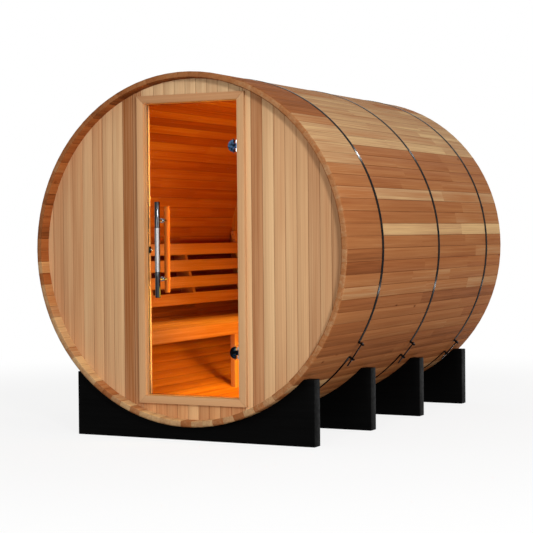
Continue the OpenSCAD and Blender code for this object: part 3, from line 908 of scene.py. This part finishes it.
class SAUNA_OT_backrest(bpy.types.Operator):
    """Builds the leaning backrest: slats, uprights and the wall blocks with their screws"""

    bl_idname = "sauna.backrest"
    bl_label = "Backrest"

    # Thickness of the boards behind the slats, depth that is scribed off the uprights, and the uprights' inset
    thick, spare, inset = 0.030, 0.4, 0.006
    # Depth of the wall blocks, how far they go below and above the top slat, and their screws: heights and heads
    block_depth, block_below, block_above = 0.028, 0.020, 0.083
    screws = (0.027, 0.062)
    head = [(0, -0.0006), (0.0012, -0.0006), (0.0015, 0.0008), (0.0030, 0.0005), (0.0036, -0.0002),
            (0.0036, -0.004), (0, -0.004)]

    def execute(self, context):
        sizes = context.scene.sauna_sizes
        draw = random.Random(61)
        low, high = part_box("backrest_slats")
        rise = (sizes.slats - 1) * sizes.slat_pitch + sizes.slat_width
        back = -sizes.slat_depth
        # The backrest's frame: X across the slats' thickness, Z up along their lean
        across, height = high.x - low.x, high.z - low.z
        angle = math.atan2(across, height) + math.asin(max(-1, back / math.hypot(across, height)))
        foot = (high.x, 0, high.z - rise * math.cos(angle))
        lean = Matrix.Translation(foot) @ Matrix.Rotation(-angle, 4, "Y")
        up = lean.to_3x3() @ Z
        piece = Piece("slats")
        for place in range(sizes.slats):
            bottom = place * sizes.slat_pitch
            part = block((back, low.y, bottom), (0, high.y, bottom + sizes.slat_width), 0.004, 3)
            # Each slat up is drawn lighter than the one below: painted light falling from above.
            piece.add(move(part, lean), Y, up, (0.48 + 0.12 * place, 0.1, 0.0), grain_shift(draw))
        piece.place("cabin", "bench", [bench_cedar], "backrest_slats")

        def behind(name, node, depth, bottom, top, tone):
            """Two boards behind the slats, at the two ends of their node."""
            piece = Piece(name)
            low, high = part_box(node)
            for start in (low.y, high.y - self.thick):
                part = block((back - depth, start, bottom), (back, start + self.thick, top), 0.002)
                piece.add(scribe(move(part, lean), sizes), up, Y, (tone, 0.1, 0.0), grain_shift(draw))
            piece.place("cabin", "bench", [bench_cedar], node)

        behind("back_uprights", "backrest_uprights", self.spare, self.inset, rise - self.inset, 0.55)
        # The wall blocks are drawn at full lightness, paler than the uprights: painted light on their faces.
        behind("wall_blocks", "backrest_blocks", self.block_depth, rise - sizes.slat_width - self.block_below,
               rise + self.block_above, 1.0)
        piece = Piece("block_screws")
        low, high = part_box("backrest_blocks")
        for place, way in ((low.y + self.thick, Y), (high.y - self.thick, -Y)):
            for height in self.screws:
                spot = lean @ Vector((back - self.block_depth / 2, place, rise + height))
                piece.add(turned(self.head, spot, way, 16), way, Z, (0.3, 0.0, 0.0))
        piece.place("cabin", "hardware", [dark_steel])
        return {"FINISHED"}


class SAUNA_OT_door(bpy.types.Operator):
    """Cuts the pane and fits its hinges and roller catch"""

    bl_idname = "sauna.door"
    bl_label = "Glass door"

    # Thickness of a clamp's cheeks and of a wall leaf, widths of eased edges, and the lap or play between two parts
    cheek, plate, fine, finest, lap = 0.005, 0.004, 0.0008, 0.0006, 0.001
    # Radii of the knuckles, their bore and the pin; half the thickness of a web and half the height of a clamp's tube
    knuckle, bore, pin, web, tube = 0.006, 0.004, 0.0035, 0.005, 0.012
    # From the hinge's axis to the notch in the glass, and to the two ends of a clamp's web
    notch, shank, web_end = 0.017, 0.008, 0.0045
    # Place of a clamp's screws, in from its straight edge and from its middle, and the profile of their heads
    screw_in, screw_off = 0.011, 0.015
    screw = [(0, 0.0004), (0.0014, 0.0004), (0.0017, 0.0016), (0.0032, 0.0014), (0.0042, 0.0), (0.0042, -0.001),
             (0, -0.001)]

    def pane(self, clamps):
        """The glass, notched at its hinge edge for the clamps."""
        low, high = GLASS
        notch, play = HINGE.x - self.notch, 0.005
        outline = [(low.x, low.z), (high.x, low.z)]
        for clamp_low, clamp_high in clamps:
            bottom, top = clamp_low.z - play, clamp_high.z + play
            outline += [(high.x, bottom), (notch, bottom), (notch, top), (high.x, top)]
        outline += [(high.x, high.z), (low.x, high.z)]
        glass = slab([(x, low.y, z) for x, z in outline], Y * (high.y - low.y), self.fine, 1)

        def ground(face):
            return (0.0 if abs(face.normal.y) > 0.9 else 1.0), 0.0, 0.0

        Piece("pane").add(glass, Z, X, ground).place("door", "glass", [pane_glass], "door_glass")

    def clamp(self, name, low, high, painted_sheen):
        """A half-round clamp: a cheek on each face of the glass, screws, and a web that ends in the hinge's tube."""
        middle, radius = (low.z + high.z) / 2, (high.z - low.z) / 2
        edge = low.x + radius
        piece = Piece("clamp_" + name)

        def add(part, along=X, across=Z):
            piece.add(part, along, across, (painted_sheen, 0.0, 0.0))

        for face in (low.y, high.y - self.cheek):
            plate = round_plate((edge, face, middle), radius, 48, 0, Y * self.cheek, [((edge, 0, 0), X)])
            add(ease(plate, sharp(plate, math.radians(30)), 0.0012))
        for height in (middle - self.screw_off, middle + self.screw_off):
            add(turned(self.screw, (edge - self.screw_in, low.y, height), -Y, 16))
        bottom, top, shank = middle - self.tube, middle + self.tube, HINGE.x - self.shank
        add(block((edge - self.lap, low.y, bottom), (shank, high.y, top), self.fine))
        corners = (shank - self.lap, GLASS_Y - self.web, bottom), (HINGE.x - self.web_end, GLASS_Y + self.web, top)
        add(block(*corners, self.finest))
        tube = chamfered(self.knuckle, -self.tube, self.tube, 0.0005, self.bore)
        add(turned(tube, (HINGE.x, GLASS_Y, middle), Z, 24), Z, X)
        piece.place("door", "hardware", [clamp_painted_sheen_steel], "hinge_clamp_" + name)

    def leaf(self, name, middle):
        """A wall leaf: its plate on the jamb, and two knuckles on the pin, one on each side of a clamp's tube."""
        low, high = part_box("hinge_leaf_" + name)
        inner, gap = high.x - self.plate, self.tube + self.lap
        piece = Piece("leaf_" + name)
        piece.add(block((inner, low.y, low.z), high, self.fine), Z, Y)
        for bottom, top in ((low.z, middle - gap), (middle + gap, high.z)):
            knuckle = chamfered(self.knuckle, bottom, top, self.fine)
            piece.add(turned(knuckle, (HINGE.x, GLASS_Y, 0), Z, 24), Z, X)
            corners = (HINGE.x, GLASS_Y - self.web, bottom), (inner + self.lap, GLASS_Y + self.web, top)
            piece.add(block(*corners, self.finest), X, Z)
        foot, head = low.z + self.lap, high.z - self.lap
        pin = [(0, foot), (self.pin, foot), (self.pin, head), (0, head)]
        piece.add(turned(pin, (HINGE.x, GLASS_Y, 0), Z, 20), Z, X)
        piece.place("cabin", "hardware", [polished_steel], "hinge_leaf_" + name)

    def execute(self, context):
        names = ("lower", "upper")
        clamps = [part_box("hinge_clamp_" + name) for name in names]
        self.pane(clamps)
        # The two clamps are alike; their different lightness is a painted reflection.
        for name, (low, high), painted_sheen in zip(names, clamps, (0.10, 0.50)):
            self.clamp(name, low, high, painted_sheen)
            self.leaf(name, (low.z + high.z) / 2)
        low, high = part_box("roller_catch")
        base, radius, half = 0.006, 0.008, 0.007
        spot = (high.x - radius, (low.y + high.y) / 2, (low.z + high.z) / 2)
        piece = Piece("catch")
        piece.add(block(low, (low.x + base, high.y, high.z), 0.001), Z, Y)
        piece.add(turned(chamfered(radius, -half, half, 0.002), spot, Z, 24), Z, X)
        piece.place("cabin", "hardware", [dark_steel], "roller_catch")
        return {"FINISHED"}


class SAUNA_OT_handle(bpy.types.Operator):
    """Turns the outer pull bar, the inner wooden grip and the posts that hold them to the glass"""

    bl_idname = "sauna.handle"
    bl_label = "Handle"

    def execute(self, context):
        low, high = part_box("handle_bar")
        radius = (high.x - low.x) / 2
        x, bar_y = (low.x + high.x) / 2, low.y + radius
        joints = low.z + context.scene.sauna_sizes.bar_end, high.z - context.scene.sauna_sizes.bar_end
        groove = 0.0012
        grooves = []
        for joint in joints:
            grooves += [(radius, joint - groove), (radius - groove, joint - groove / 2),
                        (radius - groove, joint + groove / 2), (radius, joint + groove)]

        def section(face):
            """1 on the satin middle of the bar and 0 on its sleeves."""
            return int(joints[0] < face.calc_center_median().z < joints[1])

        posts_low, posts_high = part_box("handle_inner_posts")
        stem = (posts_high.x - posts_low.x) / 2
        flange = stem + 0.004

        def add_posts(piece, face, way, reach, slot=0):
            """Two flanged posts that stand on a face of the glass."""
            post = [(0, 0), (flange - 0.001, 0), (flange, 0.001), (flange, 0.003), (flange - 0.001, 0.004),
                    (stem, 0.0045), (stem, reach), (0, reach)]
            for height in (posts_low.z + stem, posts_high.z - stem):
                piece.add(turned(post, (x, face, height), way, 32), Y, X, slot=slot)

        piece = Piece("pull_bar")
        bar = rounded(radius, low.z, high.z, 0.0025, 0.0007, grooves)
        piece.add(turned(bar, (x, bar_y, 0), Z, 48), Z, X, (0.36, 0.0, 0.0), slot=section)
        add_posts(piece, GLASS[0].y, -Y, GLASS[0].y - bar_y, 2)
        piece.place("door", "bar", [sleeve_steel, satin_steel, polished_steel], "handle_bar")

        low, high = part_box("handle_inner_grip")
        radius, grip_y = (high.x - low.x) / 2, (low.y + high.y) / 2
        piece = Piece("grip_posts")
        add_posts(piece, GLASS[1].y, Y, grip_y - GLASS[1].y - radius * 0.6)
        piece.place("door", "hardware", [polished_steel], "handle_inner_posts")
        piece = Piece("grip")
        grip = rounded(radius, low.z, high.z, 0.004, 0.0012)
        # The grip takes part of the room tint: oiled finish and painted warm light.
        piece.add(turned(grip, (x, grip_y, 0), Z, 48), Z, X, (0.45, 0.2, 0.4), (3.1, 0.2, 0.06))
        piece.place("door", "grip", [bench_cedar], "handle_inner_grip")
        return {"FINISHED"}


class SAUNA_OT_stage(bpy.types.Operator):
    """Sets the floor, the studio light and the camera"""

    bl_idname = "sauna.stage"
    bl_label = "Stage"

    # Name, place, target, width and depth, power, tint and spread of each lamp
    plain, warm, golden, amber = (1, 1, 1), (1.0, 0.68, 0.08), (1.0, 0.78, 0.12), (1.0, 0.62, 0.16)
    lamps = (
        ("key", (5.0, -6.6, 2.85), (0.2, -0.7, 1.0), (0.9, 0.9), 232, plain, 180),
        ("side_fill", (7.0, -2.5, 2.0), (0.4, 0.0, 1.0), (3.0, 3.0), 128, plain, 180),
        ("front_fill", (1.6, -9.0, 1.3), (0.0, -1.1, 1.0), (2.0, 2.0), 161, plain, 180),
        ("room_lamp", (0.60, -0.25, 0.52), (0.25, -0.25, 1.60), (0.35, 1.3), 17.5, warm, 180),
        ("floor_lamp", (0.55, -0.25, 0.60), (-0.20, -0.25, 0.08), (0.20, 1.3), 5.0, golden, 75),
        ("seat_lamp", (0.10, 0.0, 1.75), (-0.20, 0.0, 0.5), (0.25, 1.6), 5.8, golden, 70),
        ("door_lamp", (0.50, -0.985, 1.0), (-0.266, -1.062, 1.0), (1.4, 0.03), 0.5, amber, 8),
        ("back_high", (2.73, 13.0, 7.1), (0.75, 0.1, 1.5), (0.45, 0.45), 112, plain, 180),
        ("back_low", (1.95, 3.2, 0.08), (0.9, 3.2, 0.75), (0.07, 2.2), 18, plain, 180),
    )
    # The fitted camera: focal length and picture width in pixels, sensor in millimetres, place, and angles in radians
    focal, pixels, sensor = 1584.897, 533, 36.0
    viewpoint = (4.03079, -8.27560, 1.08065)
    yaw, pitch, roll = 0.465127, 0.021993, -0.008945

    def link(self, name, data):
        made = bpy.data.objects.new(name, data)
        bpy.context.scene.collection.objects.link(made)
        return made

    def lamp(self, name, place, target, size, power, tint, spread):
        """A soft lamp that shines from one point towards another, with its depth along the barrel."""
        light = bpy.data.lights.new(name, "AREA")
        light.shape = "RECTANGLE"
        light.size, light.size_y = size
        light.energy, light.color = power, tint
        light.spread = math.radians(spread)
        back = (Vector(place) - Vector(target)).normalized()
        side = Y.cross(back).normalized()
        turn = Matrix((side, back.cross(side), back)).transposed().to_4x4()
        self.link(name, light).matrix_world = Matrix.Translation(place) @ turn

    def seen(self, start):
        """1 for rays that show the background: from the camera, in metal and through glass."""
        path = start.node("ShaderNodeLightPath", {}, {})
        return start.sum("MAXIMUM", start.sum("MAXIMUM", path, path.out(3)), path.out(6))

    def floor(self):
        """A pale floor that fades into the white background."""
        bm = bmesh.new()
        bmesh.ops.create_grid(bm, x_segments=1, y_segments=1, size=60)
        mesh = bpy.data.meshes.new("floor")
        bm.to_mesh(mesh)
        bm.free()
        self.link("floor", mesh)
        pale = bpy.data.materials.new("pale_floor")
        start = blank(pale)
        seen = self.seen(start)
        matt = start.node("ShaderNodeBsdfDiffuse", {}, {"Color": seen.mix((0.26, 0.25, 0.24), (0.95, 0.95, 0.95))})
        glow = start.node("ShaderNodeEmission", {}, {"Color": (1, 1, 1, 1), "Strength": 1.0})
        spot = start.node("ShaderNodeTexCoord", {}, {}, 3)
        away = start.node("ShaderNodeVectorMath", {"operation": "LENGTH"}, {0: spot}, 1)
        open_floor = start.node("ShaderNodeMapRange", {"interpolation_type": "SMOOTHSTEP"},
                                {"Value": away, "From Min": 2.2, "From Max": 5.0, "To Min": 0.84, "To Max": 1.0})
        mixed = start.node("ShaderNodeMixShader", {}, {0: seen * open_floor, 1: matt, 2: glow})
        start.node("ShaderNodeOutputMaterial", {}, {"Surface": mixed})
        mesh.materials.append(pale)

    def world(self):
        """A soft fill all round, seen as plain white."""
        studio = bpy.data.worlds.new("studio")
        start = blank(studio)
        fill = start.node("ShaderNodeBackground", {}, {"Color": (1.0, 0.99, 0.97, 1), "Strength": 0.43})
        white = start.node("ShaderNodeBackground", {}, {"Color": (1, 1, 1, 1), "Strength": 1.0})
        both = start.node("ShaderNodeMixShader", {}, {0: self.seen(start), 1: fill, 2: white})
        start.node("ShaderNodeOutputWorld", {}, {"Surface": both})
        bpy.context.scene.world = studio

    def camera(self):
        """The camera at the photo's angle."""
        camera = bpy.data.cameras.new("camera")
        camera.sensor_fit, camera.sensor_width = "HORIZONTAL", self.sensor
        camera.lens = self.sensor * self.focal / self.pixels
        camera.clip_end = 200
        level = math.cos(self.pitch)
        ahead = Vector((-math.sin(self.yaw) * level, math.cos(self.yaw) * level, -math.sin(self.pitch)))
        right = ahead.cross(Z).normalized()
        up = right.cross(ahead)
        tilt, slope = math.cos(self.roll), math.sin(self.roll)
        turn = Matrix((right * tilt + up * slope, up * tilt - right * slope, -ahead)).transposed().to_4x4()
        seen_from = self.link("camera", camera)
        seen_from.matrix_world = Matrix.Translation(self.viewpoint) @ turn
        bpy.context.scene.camera = seen_from

    def execute(self, context):
        context.scene.view_settings.view_transform = "Standard"
        self.floor()
        self.world()
        for lamp in self.lamps:
            self.lamp(*lamp)
        self.camera()
        return {"FINISHED"}


STEPS = (
    SAUNA_OT_staves, SAUNA_OT_end_walls, SAUNA_OT_door_frame, SAUNA_OT_hoops, SAUNA_OT_cradles, SAUNA_OT_bench,
    SAUNA_OT_backrest, SAUNA_OT_door, SAUNA_OT_handle, SAUNA_OT_stage,
)


class SAUNA_PT_parts(bpy.types.Panel):
    """Lists the sauna's steps, sizes and colours"""

    bl_idname = "SAUNA_PT_parts"
    bl_label = "Barrel sauna"
    bl_space_type = "VIEW_3D"
    bl_region_type = "UI"
    bl_category = "Sauna"

    def draw(self, context):
        for step in STEPS:
            self.layout.operator(step.bl_idname)
        for group in (context.scene.sauna_sizes, context.scene.sauna_finishes):
            for key in group.bl_rna.properties.keys():
                if key not in ("rna_type", "name"):
                    self.layout.prop(group, key)


CLASSES = (SaunaSizes, SaunaFinishes, *STEPS, SAUNA_PT_parts)


def register():
    for kind in CLASSES:
        bpy.utils.register_class(kind)
    bpy.types.Scene.sauna_sizes = PointerProperty(type=SaunaSizes)
    bpy.types.Scene.sauna_finishes = PointerProperty(type=SaunaFinishes)


def unregister():
    del bpy.types.Scene.sauna_finishes, bpy.types.Scene.sauna_sizes
    for kind in reversed(CLASSES):
        bpy.utils.unregister_class(kind)


def main():
    register()
    bpy.ops.sauna.staves()
    bpy.ops.sauna.end_walls()
    bpy.ops.sauna.door_frame()
    bpy.ops.sauna.hoops()
    bpy.ops.sauna.cradles()
    bpy.ops.sauna.bench()
    bpy.ops.sauna.backrest()
    bpy.ops.sauna.door()
    bpy.ops.sauna.handle()
    bpy.ops.sauna.stage()


if __name__ == "__main__":
    main()
